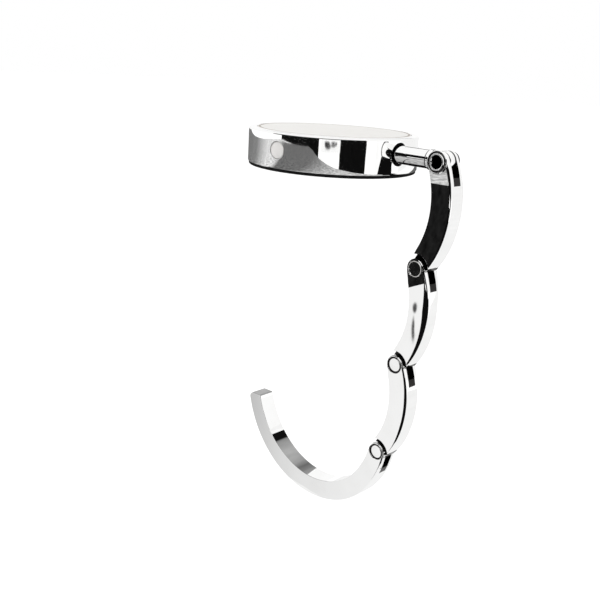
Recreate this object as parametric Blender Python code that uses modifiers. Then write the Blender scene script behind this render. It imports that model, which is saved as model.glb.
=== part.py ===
"""Folding purse hook: a weighted disc with a rubber foot, a neck that slides and turns
in the disc's wall, three hinged links and a round hook.

The chain hangs open beside the table's edge. Metres, +Z up. The origin is the centre of
the foot's underside. The neck leaves the disc along +X and the chain lies in the XZ plane.
"""

import math

import bmesh
import bpy
from mathutils import Matrix, Vector

MM = 0.001

# Disc: a cast cup, open below, with a plate let into its top
DISC_RADIUS = 18.5 * MM
EDGE_ROUND = 0.45 * MM
WALL = 3.0 * MM
SKIRT = 1.5 * MM
ROOF = 0.43 * MM
TOP_RIM = 1.85 * MM
INSERT_THICKNESS = 0.4 * MM
PAD_INSET = 0.2 * MM
PAD_THICKNESS = 0.5 * MM
PAD_ROUND = 0.15 * MM
PLATE_THICKNESS = 0.8 * MM
PLATE_BREAK = 0.1 * MM
MAGNET_RADIUS = 1.8 * MM
MAGNET_LENGTH = 2.0 * MM
MAGNET_DROP = 0.35 * MM
MAGNET_TURN = math.radians(5.7)

# Neck: tongue, collar, barrel and a shank with a groove for its retaining ring
NECK_REACH = 11.0 * MM
BARREL_RADIUS = 1.85 * MM
BARREL_LENGTH = 12.4 * MM
ROOM_BELOW = 1.02 * MM
ROOM_ABOVE = 0.15 * MM
COLLAR_STEP = 0.2 * MM
COLLAR_THICKNESS = 0.8 * MM
NECK_BREAK = 0.15 * MM
SHANK_RADIUS = 1.3 * MM
SHANK_LAND = 0.5 * MM
GROOVE_DEPTH = 0.3 * MM
RING_RADIUS = 1.75 * MM
RING_THICKNESS = 0.7 * MM
RING_MOUTH = 1.4 * MM
BOSS_THICKNESS = 1.6 * MM
BOSS_WIDTH = 6.4 * MM
BOSS_WALL = 0.8 * MM

# Links and hook: sectors of one ring that closes round the disc
TONGUE_WIDTH = 1.5 * MM
EAR_WIDTH = 1.15 * MM
CHAIN_DEPTH = 4.2 * MM
SLOT_REACH = 4.4 * MM
TONGUE_SHARE = 0.86
RIM_BREAK = 0.3 * MM
TIP_ROUND = 0.7 * MM
LINK_SPAN = math.radians(62.9)
HOOK_SPAN = math.radians(159.5)
LINK_LEAN = math.radians(7.0)
HOOK_LEAN = math.radians(9.55)
STOP_SLACK = math.radians(3.0)
NOSE_SPAN = math.radians(45.0)
EAR_ROOM = 0.95 * MM
HEEL_RISE = 1.2 * MM

# Hinge pins: flush rivets, and a tubular one at the neck with a wide flange in front
EAR_RIM = 0.4 * MM
PIN_HEAD_DEPTH = 0.6 * MM
PIN_RADIUS = 1.1 * MM
PIN_BREAK = 0.1 * MM
TUBE_RADIUS = 1.45 * MM
TUBE_WALL = 0.5 * MM
TUBE_FUNNEL = 0.35 * MM
FLANGE_LAP = 0.2 * MM
CLINCH_INSET = 0.2 * MM
FLANGE_THICKNESS = 0.35 * MM
FLANGE_BREAK = 0.12 * MM

# Clearances
SEAT_GAP = 0.3 * MM
RING_GAP = 0.37 * MM
RUN_GAP = 0.1 * MM
STOP_GAP = 0.1 * MM
OVERRUN = 1.0 * MM

# How finely round things are stepped
DISC_STEPS = 72
ROD_STEPS = 28
ARC_STEP = math.radians(5.0)
CAP_STEP = math.radians(15.0)
SMOOTH_ANGLE = math.radians(25.0)

# Derived sizes and places
BODY_BOTTOM = PAD_THICKNESS + SEAT_GAP
LEDGE = BODY_BOTTOM + PLATE_THICKNESS + SEAT_GAP
NECK_HEIGHT = LEDGE + ROOM_BELOW + BARREL_RADIUS
CEILING = NECK_HEIGHT + BARREL_RADIUS + ROOM_ABOVE
RECESS_FLOOR = CEILING + ROOF
BODY_TOP = RECESS_FLOOR + SEAT_GAP + INSERT_THICKNESS
INSERT_RADIUS = DISC_RADIUS - TOP_RIM
PAD_RADIUS = DISC_RADIUS - PAD_INSET
PLATE_RADIUS = DISC_RADIUS - SKIRT - SEAT_GAP
CAVITY_RADIUS = DISC_RADIUS - WALL
COLLAR_RADIUS = BARREL_RADIUS + COLLAR_STEP
GROOVE_RADIUS = SHANK_RADIUS - GROOVE_DEPTH
EAR_RADIUS = CHAIN_DEPTH / 2
PIN_HEAD_RADIUS = EAR_RADIUS - EAR_RIM
FLANGE_RADIUS = EAR_RADIUS + FLANGE_LAP
CLINCH_RADIUS = EAR_RADIUS - CLINCH_INSET
TUBE_BORE_RADIUS = TUBE_RADIUS - TUBE_WALL
SLOT_WIDTH = TONGUE_WIDTH + 2 * SEAT_GAP
CHAIN_WIDTH = SLOT_WIDTH + 2 * EAR_WIDTH
RING_INNER = DISC_RADIUS + RING_GAP
RING_OUTER = RING_INNER + CHAIN_DEPTH
PIN_CIRCLE = RING_INNER + EAR_RADIUS
LINK_TURN = LINK_SPAN / 2 - LINK_LEAN
HOOK_FOLD = LINK_SPAN - LINK_TURN - HOOK_LEAN
COLLAR_FACE = EAR_RADIUS + SEAT_GAP
COLLAR_BACK = COLLAR_FACE + COLLAR_THICKNESS
BARREL_BACK = COLLAR_BACK + BARREL_LENGTH
MOUTH_FLOOR = PIN_CIRCLE - COLLAR_BACK - SEAT_GAP
BOSS_FACE = PIN_CIRCLE - BARREL_BACK - SEAT_GAP
BOSS_BACK = BOSS_FACE - BOSS_THICKNESS


def rod_profile(rings):
    """Profile of a solid round piece, from the top of its axis to the bottom."""
    points = [(0, rings[0][1])] + list(rings) + [(0, rings[-1][1])]
    return points


def broken(radius, top, bottom, edge):
    """Outer side of a cylinder with a small chamfer at both ends."""
    return [
        (radius - edge, top),
        (radius, top - edge),
        (radius, bottom + edge),
        (radius - edge, bottom),
    ]


def turned(name, profile, steps, collection, closed=False):
    """Turn a profile of (radius, height) points about the local Z axis."""
    mesh = bpy.data.meshes.new(name)
    form = bmesh.new()
    points = [form.verts.new((radius, 0, height)) for radius, height in profile]
    for first, second in zip(points, points[1:]):
        form.edges.new((first, second))
    if closed:
        form.edges.new((points[-1], points[0]))
    form.to_mesh(mesh)
    form.free()
    thing = bpy.data.objects.new(name, mesh)
    collection.objects.link(thing)
    screw = thing.modifiers.new("Turn", "SCREW")
    screw.steps = steps
    screw.render_steps = steps
    screw.use_merge_vertices = True
    screw.merge_threshold = 0.00001
    screw.use_smooth_shade = True
    return thing


def flat(name, outline, width, collection, edge=0):
    """Extrude an outline of (x, z) points along Y, centred on the XZ plane."""
    curve = bpy.data.curves.new(name + "_outline", "CURVE")
    curve.dimensions = "2D"
    curve.fill_mode = "BOTH"
    curve.extrude = width / 2 - edge
    curve.bevel_depth = edge
    curve.bevel_resolution = 0
    curve.offset = -edge
    spline = curve.splines.new("POLY")
    spline.points.add(len(outline) - 1)
    for point, place in zip(spline.points, outline):
        point.co = (place[0], place[1], 0, 1)
    spline.use_cyclic_u = True
    guide = bpy.data.objects.new(name + "_outline", curve)
    collection.objects.link(guide)
    graph = bpy.context.evaluated_depsgraph_get()
    mesh = bpy.data.meshes.new_from_object(guide.evaluated_get(graph))
    bpy.data.objects.remove(guide)
    bpy.data.curves.remove(curve)
    form = bmesh.new()
    form.from_mesh(mesh)
    bmesh.ops.remove_doubles(form, verts=form.verts, dist=0.00001)
    bmesh.ops.recalc_face_normals(form, faces=form.faces)
    bmesh.ops.transform(form, matrix=Matrix.Rotation(math.pi / 2, 4, "X"), verts=form.verts)
    form.to_mesh(mesh)
    form.free()
    mesh.name = name
    mesh.shade_smooth()
    mesh.set_sharp_from_angle(angle=SMOOTH_ANGLE)
    thing = bpy.data.objects.new(name, mesh)
    collection.objects.link(thing)
    return thing


def block(name, low, high, collection):
    """Axis-aligned box between two corners."""
    mesh = bpy.data.meshes.new(name)
    form = bmesh.new()
    bmesh.ops.create_cube(form, size=1)
    size = [b - a for a, b in zip(low, high)]
    middle = [(a + b) / 2 for a, b in zip(low, high)]
    bmesh.ops.scale(form, vec=size, verts=form.verts)
    bmesh.ops.translate(form, vec=middle, verts=form.verts)
    form.to_mesh(mesh)
    form.free()
    thing = bpy.data.objects.new(name, mesh)
    collection.objects.link(thing)
    return thing


def combine(thing, other, operation):
    """Cut or join with another closed solid, which stays as a hidden guide."""
    step = thing.modifiers.new(other.name, "BOOLEAN")
    step.operation = operation
    step.solver = "EXACT"
    step.object = other
    other.display_type = "WIRE"
    other.hide_render = True


def place(thing, where, turn=(0, 0, 0), parent=None):
    """Set an object's place and turn, or its place under a parent."""
    thing.location = where
    thing.rotation_euler = turn
    if parent is not None:
        thing.parent = parent


def finish(thing, name, colour, metallic, roughness):
    """Give the piece its own material."""
    material = bpy.data.materials.new(name)
    material.use_nodes = True
    shader = material.node_tree.nodes["Principled BSDF"]
    shader.inputs["Base Color"].default_value = (*colour, 1)
    shader.inputs["Metallic"].default_value = metallic
    shader.inputs["Roughness"].default_value = roughness
    material.diffuse_color = (*colour, 1)
    thing.data.materials.clear()
    thing.data.materials.append(material)


def polar(centre, radius, angle):
    """Point at a radius and an angle from +X towards +Z."""
    return (centre[0] + radius * math.cos(angle), centre[1] + radius * math.sin(angle))


def arc(centre, radius, start, end, step):
    """Points along an arc, both ends included."""
    count = max(2, math.ceil(abs(end - start) / step))
    return [
        polar(centre, radius, start + (end - start) * index / count)
        for index in range(count + 1)
    ]


def stop_radius(angle):
    """Distance of a shoulder's corner from the pin that stops an ear at this angle."""
    return EAR_RADIUS / math.cos(angle / 2)


CENTRE = (-PIN_CIRCLE, 0)


def ring_sector(span, round_end, heel=()):
    """Outline of a link about its upper pin, lying as it does when the ring is closed."""
    if round_end:
        end = polar(CENTRE, PIN_CIRCLE, -span)
        outline = arc(CENTRE, RING_OUTER, 0, -span, ARC_STEP)
        outline += arc(end, EAR_RADIUS, -span, -span - math.pi, CAP_STEP)[1:-1]
        outline += arc(CENTRE, RING_INNER, -span, 0, ARC_STEP)
    else:
        outer = TIP_ROUND / (RING_OUTER - TIP_ROUND) - span
        inner = TIP_ROUND / (RING_INNER + TIP_ROUND) - span
        outer_corner = polar(CENTRE, RING_OUTER - TIP_ROUND, outer)
        inner_corner = polar(CENTRE, RING_INNER + TIP_ROUND, inner)
        square = -span - math.pi / 2
        outline = arc(CENTRE, RING_OUTER, 0, outer, ARC_STEP)
        outline += arc(outer_corner, TIP_ROUND, outer, square, CAP_STEP * 2)[1:]
        outline += arc(inner_corner, TIP_ROUND, square, inner - math.pi, CAP_STEP * 2)
        outline += arc(CENTRE, RING_INNER, inner, 0, ARC_STEP)[1:]
    if heel:
        first = math.atan2(heel[0][1], heel[0][0])
        reach = math.hypot(*heel[0])
        last = math.atan2(heel[1][1], heel[1][0])
        far = math.hypot(*heel[1])
        leave = first + math.acos(EAR_RADIUS / reach)
        back = last - math.acos(EAR_RADIUS / far)
        if leave < math.pi - CAP_STEP / 2:
            outline += arc((0, 0), EAR_RADIUS, math.pi, leave, CAP_STEP)[1:]
        outline += list(heel)
        outline += arc((0, 0), EAR_RADIUS, back, 0, CAP_STEP)[:-1]
    else:
        outline += arc((0, 0), EAR_RADIUS, math.pi, 0, CAP_STEP)[1:-1]
    return outline


def shoulder_outline(corner):
    """Cut round the lower pin. Its nose, next to the outer rim, sets the opening stop."""
    wide = EAR_RADIUS + EAR_ROOM
    end = polar(CENTRE, PIN_CIRCLE, -LINK_SPAN)
    nose = arc(end, corner, -LINK_SPAN, -LINK_SPAN + NOSE_SPAN, CAP_STEP / 2)
    rest = arc(
        end, wide, -LINK_SPAN + NOSE_SPAN, -LINK_SPAN + 2 * math.pi, CAP_STEP / 2
    )
    return nose + rest


def pin_profile(head, shank, half, depth, edge):
    """Rivet with a flush head at both ends."""
    return rod_profile(
        [
            (head - edge, half),
            (head, half - edge),
            (head, half - depth),
            (shank, half - depth),
            (shank, depth - half),
            (head, depth - half),
            (head, edge - half),
            (head - edge, -half),
        ]
    )


for old in list(bpy.data.objects):
    bpy.data.objects.remove(old)

parts = bpy.data.collections.new("purse_hook")
cutters = bpy.data.collections.new("cutters")
bpy.context.scene.collection.children.link(parts)
bpy.context.scene.collection.children.link(cutters)

ALONG_Y = (-math.pi / 2, 0, 0)
ALONG_X = (0, math.pi / 2, 0)
CHROME = (0.86, 0.86, 0.87)

# Hinge places, from the neck down the chain
chord = 2 * PIN_CIRCLE * math.sin(LINK_SPAN / 2)
first_pin = (DISC_RADIUS + NECK_REACH, NECK_HEIGHT)
hinges = [first_pin]
for _ in range(3):
    hinges.append(polar(hinges[-1], chord, -math.pi / 2 - LINK_LEAN))
joint_places = [Vector((x, 0, z)) for x, z in hinges]

# Disc body
disc_profile = [
    (0, RECESS_FLOOR),
    (INSERT_RADIUS + SEAT_GAP, RECESS_FLOOR),
    (INSERT_RADIUS + SEAT_GAP, BODY_TOP),
]
disc_profile += arc(
    (DISC_RADIUS - EDGE_ROUND, BODY_TOP - EDGE_ROUND), EDGE_ROUND, math.pi / 2, 0, CAP_STEP * 2
)
disc_profile += [
    (DISC_RADIUS, BODY_BOTTOM + PLATE_BREAK),
    (DISC_RADIUS - PLATE_BREAK, BODY_BOTTOM),
    (PLATE_RADIUS + SEAT_GAP, BODY_BOTTOM),
    (PLATE_RADIUS + SEAT_GAP, LEDGE),
    (CAVITY_RADIUS, LEDGE),
    (CAVITY_RADIUS, CEILING),
    (0, CEILING),
]
disc_body = turned("disc_body", disc_profile, DISC_STEPS, parts)
boss = block(
    "boss_join",
    (BOSS_BACK, -BOSS_WIDTH / 2, NECK_HEIGHT - SHANK_RADIUS - RUN_GAP - BOSS_WALL),
    (BOSS_FACE, BOSS_WIDTH / 2, CEILING + ROOF / 2),
    cutters,
)
combine(disc_body, boss, "UNION")
bore = turned(
    "neck_bore",
    rod_profile(
        [
            (COLLAR_RADIUS + SEAT_GAP, DISC_RADIUS + OVERRUN),
            (COLLAR_RADIUS + SEAT_GAP, MOUTH_FLOOR),
            (BARREL_RADIUS + RUN_GAP, MOUTH_FLOOR),
            (BARREL_RADIUS + RUN_GAP, CAVITY_RADIUS - OVERRUN),
        ]
    ),
    ROD_STEPS,
    cutters,
)
place(bore, (0, 0, NECK_HEIGHT), ALONG_X)
combine(disc_body, bore, "DIFFERENCE")
shank_bore = turned(
    "shank_bore",
    rod_profile(
        [
            (SHANK_RADIUS + RUN_GAP, BOSS_FACE + OVERRUN),
            (SHANK_RADIUS + RUN_GAP, BOSS_BACK - OVERRUN),
        ]
    ),
    ROD_STEPS,
    cutters,
)
place(shank_bore, (0, 0, NECK_HEIGHT), ALONG_X)
combine(disc_body, shank_bore, "DIFFERENCE")
magnet_hole = turned(
    "magnet_hole",
    rod_profile(
        [
            (MAGNET_RADIUS + RUN_GAP, OVERRUN),
            (MAGNET_RADIUS + RUN_GAP, -MAGNET_LENGTH - SEAT_GAP),
        ]
    ),
    ROD_STEPS,
    cutters,
)
magnet_line = Vector((math.sin(MAGNET_TURN), -math.cos(MAGNET_TURN), 0))
magnet_level = Vector((0, 0, NECK_HEIGHT - MAGNET_DROP))
outward = (math.pi / 2, 0, MAGNET_TURN)
place(magnet_hole, magnet_line * DISC_RADIUS + magnet_level, outward)
combine(disc_body, magnet_hole, "DIFFERENCE")
finish(disc_body, "disc_chrome", CHROME, 1.0, 0.08)

top_insert = turned(
    "top_insert",
    rod_profile(broken(INSERT_RADIUS, INSERT_THICKNESS, 0, PLATE_BREAK)),
    DISC_STEPS,
    parts,
)
place(top_insert, (0, 0, BODY_TOP - INSERT_THICKNESS))
finish(top_insert, "insert_enamel", (0.91, 0.90, 0.88), 0.0, 0.35)

base_plate = turned(
    "base_plate",
    rod_profile(broken(PLATE_RADIUS, PLATE_THICKNESS, 0, PLATE_BREAK)),
    DISC_STEPS,
    parts,
)
place(base_plate, (0, 0, BODY_BOTTOM))
finish(base_plate, "base_steel", (0.55, 0.55, 0.56), 1.0, 0.4)

rubber_pad = turned(
    "rubber_pad",
    rod_profile(broken(PAD_RADIUS, PAD_THICKNESS, 0, PAD_ROUND)),
    DISC_STEPS,
    parts,
)
finish(rubber_pad, "pad_rubber", (0.012, 0.012, 0.012), 0.0, 0.7)

disc_magnet = turned(
    "disc_magnet",
    rod_profile(broken(MAGNET_RADIUS, 0, -MAGNET_LENGTH, PIN_BREAK)),
    ROD_STEPS,
    parts,
)
sink = DISC_RADIUS - math.sqrt(DISC_RADIUS**2 - MAGNET_RADIUS**2)
place(disc_magnet, magnet_line * (DISC_RADIUS - sink) + magnet_level, outward)
finish(disc_magnet, "magnet_nickel", (0.72, 0.71, 0.70), 1.0, 0.22)

# Neck, turned about its own axis, with the tongue that link 1 hinges on
groove_middle = BOSS_BACK - SEAT_GAP - RING_THICKNESS / 2 - first_pin[0]
groove_top = groove_middle + RING_THICKNESS / 2 + RUN_GAP
groove_bottom = groove_middle - RING_THICKNESS / 2 - RUN_GAP
shank_end = groove_bottom - SHANK_LAND
neck = turned(
    "neck",
    rod_profile(
        [
            (COLLAR_RADIUS - NECK_BREAK, -COLLAR_FACE),
            (COLLAR_RADIUS, -COLLAR_FACE - NECK_BREAK),
            (COLLAR_RADIUS, NECK_BREAK - COLLAR_BACK),
            (COLLAR_RADIUS - NECK_BREAK, -COLLAR_BACK),
            (BARREL_RADIUS, -COLLAR_BACK),
            (BARREL_RADIUS, NECK_BREAK - BARREL_BACK),
            (BARREL_RADIUS - NECK_BREAK, -BARREL_BACK),
            (SHANK_RADIUS, -BARREL_BACK),
            (SHANK_RADIUS, groove_top),
            (GROOVE_RADIUS, groove_top),
            (GROOVE_RADIUS, groove_bottom),
            (SHANK_RADIUS, groove_bottom),
            (SHANK_RADIUS, shank_end + NECK_BREAK),
            (SHANK_RADIUS - NECK_BREAK, shank_end),
        ]
    ),
    ROD_STEPS,
    parts,
)
place(neck, joint_places[0], ALONG_X)
tongue_root = COLLAR_FACE + COLLAR_THICKNESS / 2
tongue = flat(
    "neck_tongue_join",
    arc((0, 0), EAR_RADIUS, math.radians(130), math.radians(-130), CAP_STEP)
    + [
        (-tongue_root, -EAR_RADIUS * TONGUE_SHARE),
        (-tongue_root, EAR_RADIUS * TONGUE_SHARE),
    ],
    TONGUE_WIDTH,
    cutters,
)
place(tongue, joint_places[0])
combine(neck, tongue, "UNION")
neck_eye = turned(
    "neck_eye",
    rod_profile([(TUBE_RADIUS + RUN_GAP, CHAIN_WIDTH), (TUBE_RADIUS + RUN_GAP, -CHAIN_WIDTH)]),
    ROD_STEPS,
    cutters,
)
place(neck_eye, joint_places[0], ALONG_Y)
combine(neck, neck_eye, "DIFFERENCE")
finish(neck, "neck_chrome", CHROME, 1.0, 0.08)

ring_profile = [
    (RING_RADIUS, RING_THICKNESS / 2),
    (RING_RADIUS, -RING_THICKNESS / 2),
    (GROOVE_RADIUS + RUN_GAP, -RING_THICKNESS / 2),
    (GROOVE_RADIUS + RUN_GAP, RING_THICKNESS / 2),
]
retaining_ring = turned("neck_retaining_ring", ring_profile, ROD_STEPS, parts, closed=True)
place(retaining_ring, (first_pin[0] + groove_middle, 0, NECK_HEIGHT), ALONG_X)
ring_mouth = block(
    "ring_mouth",
    (-RING_RADIUS - OVERRUN, -RING_MOUTH / 2, -RING_THICKNESS),
    (0, RING_MOUTH / 2, RING_THICKNESS),
    cutters,
)
place(ring_mouth, (first_pin[0] + groove_middle, 0, NECK_HEIGHT), ALONG_X)
combine(retaining_ring, ring_mouth, "DIFFERENCE")
finish(retaining_ring, "ring_spring_steel", (0.35, 0.34, 0.33), 1.0, 0.35)

# Cutters that every link shares, about its upper pin
slot_mesh = block(
    "slot_cut",
    (-EAR_RADIUS - OVERRUN, -SLOT_WIDTH / 2, -SLOT_REACH),
    (EAR_RADIUS + OVERRUN, SLOT_WIDTH / 2, EAR_RADIUS + OVERRUN),
    cutters,
)
slot_shape = slot_mesh.data
bpy.data.objects.remove(slot_mesh)
lower_pin = polar(CENTRE, PIN_CIRCLE, -LINK_SPAN)


def side_cuts(name, corner):
    """Cut both sides of a link's lower end down to the tongue."""
    depth = CHAIN_WIDTH / 2 + OVERRUN - TONGUE_WIDTH / 2
    half = flat(name, shoulder_outline(corner), depth, cutters)
    half.data.transform(Matrix.Translation((0, TONGUE_WIDTH / 2 + depth / 2, 0)))
    mirror = half.modifiers.new("Both sides", "MIRROR")
    mirror.use_axis = (False, True, False)
    mirror.merge_threshold = 0.00001
    return half


def link(name, index, span, round_end, turn, corner, heel, pin_head, pin_shank):
    """One sector of the ring, hung on its upper pin."""
    thing = flat(name, ring_sector(span, round_end, heel), CHAIN_WIDTH, parts, RIM_BREAK)
    place(thing, joint_places[index], (0, -turn, 0))
    slot = bpy.data.objects.new(name + "_slot", slot_shape)
    cutters.objects.link(slot)
    place(slot, (0, 0, 0), parent=thing)
    combine(thing, slot, "DIFFERENCE")
    half = CHAIN_WIDTH / 2 + OVERRUN
    ear_bore = turned(
        name + "_ear_bore",
        pin_profile(
            pin_head + RUN_GAP, pin_shank + RUN_GAP, half, PIN_HEAD_DEPTH + RUN_GAP + OVERRUN, 0
        )
        if pin_head
        else rod_profile([(pin_shank + RUN_GAP, half), (pin_shank + RUN_GAP, -half)]),
        ROD_STEPS,
        cutters,
    )
    place(ear_bore, (0, 0, 0), ALONG_Y, thing)
    combine(thing, ear_bore, "DIFFERENCE")
    if corner:
        sides = side_cuts(name + "_shoulders", corner)
        place(sides, (0, 0, 0), parent=thing)
        combine(thing, sides, "DIFFERENCE")
        eye = turned(
            name + "_eye",
            rod_profile([(PIN_RADIUS + RUN_GAP, half), (PIN_RADIUS + RUN_GAP, -half)]),
            ROD_STEPS,
            cutters,
        )
        place(eye, (lower_pin[0], 0, lower_pin[1]), ALONG_Y, thing)
        combine(thing, eye, "DIFFERENCE")
    finish(thing, name + "_chrome", CHROME, 1.0, 0.08)
    return thing


# The heel on link 1 meets the collar's face when the chain is open
heel_face = COLLAR_FACE - STOP_GAP
back_turn = Matrix.Rotation(-LINK_TURN, 2)
heel_points = [
    tuple(back_turn @ Vector((-heel_face, 0))),
    tuple(back_turn @ Vector((-heel_face, HEEL_RISE))),
]
open_corner = stop_radius(LINK_SPAN + STOP_SLACK)
hook_corner = stop_radius(HOOK_FOLD + STOP_SLACK)
link("link_1", 0, LINK_SPAN, True, LINK_TURN, open_corner, heel_points, 0, TUBE_RADIUS)
link("link_2", 1, LINK_SPAN, True, LINK_TURN, open_corner, (), PIN_HEAD_RADIUS, PIN_RADIUS)
link("link_3", 2, LINK_SPAN, True, LINK_TURN, hook_corner, (), PIN_HEAD_RADIUS, PIN_RADIUS)
link("hook", 3, HOOK_SPAN, False, -HOOK_LEAN, 0, (), PIN_HEAD_RADIUS, PIN_RADIUS)

# Tubular rivet at the neck
flange_under = CHAIN_WIDTH / 2 + STOP_GAP
flange_top = flange_under + FLANGE_THICKNESS
tube_profile = [
    (CLINCH_RADIUS - FLANGE_BREAK, flange_top),
    (CLINCH_RADIUS, flange_top - FLANGE_BREAK),
    (CLINCH_RADIUS, flange_under),
    (TUBE_RADIUS, flange_under),
    (TUBE_RADIUS, -flange_under),
    (FLANGE_RADIUS, -flange_under),
    (FLANGE_RADIUS, FLANGE_BREAK - flange_top),
    (FLANGE_RADIUS - FLANGE_BREAK, -flange_top),
    (TUBE_BORE_RADIUS + TUBE_FUNNEL, -flange_top),
    (TUBE_BORE_RADIUS, TUBE_FUNNEL - flange_top),
    (TUBE_BORE_RADIUS, flange_top - TUBE_FUNNEL),
    (TUBE_BORE_RADIUS + TUBE_FUNNEL, flange_top),
]
tube_pin = turned("hinge_pin_0", tube_profile, ROD_STEPS, parts, closed=True)
place(tube_pin, joint_places[0], ALONG_Y)
finish(tube_pin, "tube_pin_chrome", CHROME, 1.0, 0.1)

# Flush rivets of the other three hinges share one shape
rivet = pin_profile(PIN_HEAD_RADIUS, PIN_RADIUS, CHAIN_WIDTH / 2, PIN_HEAD_DEPTH, PIN_BREAK)
for index in (1, 2, 3):
    pin = turned("hinge_pin_%d" % index, rivet, ROD_STEPS, parts)
    place(pin, joint_places[index], ALONG_Y)
    finish(pin, "pin_%d_chrome" % index, CHROME, 1.0, 0.1)
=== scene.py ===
import math

import bmesh
import bpy
from mathutils import Matrix, Vector


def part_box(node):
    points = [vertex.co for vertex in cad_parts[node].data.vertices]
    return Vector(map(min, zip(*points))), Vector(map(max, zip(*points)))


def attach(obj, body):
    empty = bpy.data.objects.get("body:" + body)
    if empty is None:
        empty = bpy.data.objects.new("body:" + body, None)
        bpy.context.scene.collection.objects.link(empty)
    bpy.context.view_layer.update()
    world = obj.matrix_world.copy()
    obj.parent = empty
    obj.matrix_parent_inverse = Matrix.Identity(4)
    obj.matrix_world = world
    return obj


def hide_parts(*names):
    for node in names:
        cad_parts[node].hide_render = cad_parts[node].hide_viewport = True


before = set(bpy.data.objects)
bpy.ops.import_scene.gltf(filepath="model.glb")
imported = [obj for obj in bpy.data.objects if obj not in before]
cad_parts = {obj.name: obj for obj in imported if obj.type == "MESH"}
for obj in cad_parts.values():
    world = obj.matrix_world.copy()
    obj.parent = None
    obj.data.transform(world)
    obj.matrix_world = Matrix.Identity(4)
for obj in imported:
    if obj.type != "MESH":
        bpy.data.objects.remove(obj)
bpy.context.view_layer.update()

scene = bpy.context.scene
mm = 0.001


def say(text):
    print("hook scene:", text)


say("CAD frame is in, %d nodes" % len(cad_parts))


def middle(node):
    low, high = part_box(node)
    return (low + high) / 2


def polar(centre, radius, angle):
    return (centre[0] + radius * math.cos(angle), centre[1] + radius * math.sin(angle))


def arcPoints(centre, radius, start, end, count):
    return [polar(centre, radius, start + (end - start) * i / count) for i in range(count + 1)]


def between(knots, share):
    # value at a share of the way, from (share, value) knots
    for (a, first), (b, second) in zip(knots, knots[1:]):
        if share <= b:
            return first + (second - first) * (share - a) / (b - a)
    return knots[-1][1]


def rounded(corners, closed=False, steps=7):
    # corners are (x, y, radius), and a radius of 0 or none stays sharp
    points = []
    count = len(corners)
    for i, corner in enumerate(corners):
        x, y, size = corner if len(corner) == 3 else (*corner, 0)
        if size == 0 or (not closed and i in (0, count - 1)):
            points.append((x, y))
            continue
        here = Vector((x, y))
        back = (Vector(corners[i - 1][:2]) - here).normalized()
        ahead = (Vector(corners[(i + 1) % count][:2]) - here).normalized()
        half = back.angle(ahead) / 2
        centre = here + (back + ahead).normalized() * (size / math.sin(half))
        first = here + back * (size / math.tan(half)) - centre
        last = here + ahead * (size / math.tan(half)) - centre
        start = math.atan2(first.y, first.x)
        sweep = (math.atan2(last.y, last.x) - start + math.pi) % (2 * math.pi) - math.pi
        points += arcPoints(centre, size, start, start + sweep, steps)
    return points


def newPiece(name, form):
    bmesh.ops.recalc_face_normals(form, faces=form.faces)
    mesh = bpy.data.meshes.new(name)
    form.to_mesh(mesh)
    form.free()
    piece = bpy.data.objects.new(name, mesh)
    scene.collection.objects.link(piece)
    return piece


def outFrom(angle):
    # lays a turned piece's axis level, pointing outwards at an angle from +X
    return Matrix.Rotation(angle, 4, "Z") @ Matrix.Rotation(math.pi / 2, 4, "Y")


turns = {
    "up": Matrix.Identity(4),
    "alongX": Matrix.Rotation(math.pi / 2, 4, "Y"),
    "alongY": Matrix.Rotation(-math.pi / 2, 4, "X"),
}


def turned(name, profile, steps, way="up", where=(0, 0, 0), closed=False):
    # a profile of (radius, height) in mm, spun about its axis
    form = bmesh.new()
    points = [form.verts.new((r * mm, 0, h * mm)) for r, h in profile]
    edges = [form.edges.new(pair) for pair in zip(points, points[1:])]
    if closed:
        edges.append(form.edges.new((points[-1], points[0])))
    bmesh.ops.spin(
        form, geom=points + edges, axis=(0, 0, 1), cent=(0, 0, 0),
        angle=2 * math.pi, steps=steps, use_merge=True,
    )
    bmesh.ops.remove_doubles(form, verts=form.verts, dist=1e-7)
    form.transform(Matrix.Translation(where) @ (turns[way] if isinstance(way, str) else way))
    return newPiece(name, form)


def stacked(name, sections):
    # outlines of (x, z) in mm with equal counts, each at its own y, joined into a solid
    form = bmesh.new()
    rings = [[form.verts.new((x * mm, y * mm, z * mm)) for x, z in outline] for y, outline in sections]
    for ring, after in zip(rings, rings[1:]):
        for i in range(len(ring)):
            form.faces.new((ring[i - 1], ring[i], after[i], after[i - 1]))
    form.faces.new(rings[0])
    form.faces.new(rings[-1])
    return newPiece(name, form)


throughCut = 4  # half the height in mm of a cutter for a link's bore


def cylinder(radius, reach=throughCut):
    return [(0, reach), (radius, reach), (radius, -reach), (0, -reach)]


def slab(name, outline, low, high):
    return stacked(name, [(low, outline), (high, outline)])


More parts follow.
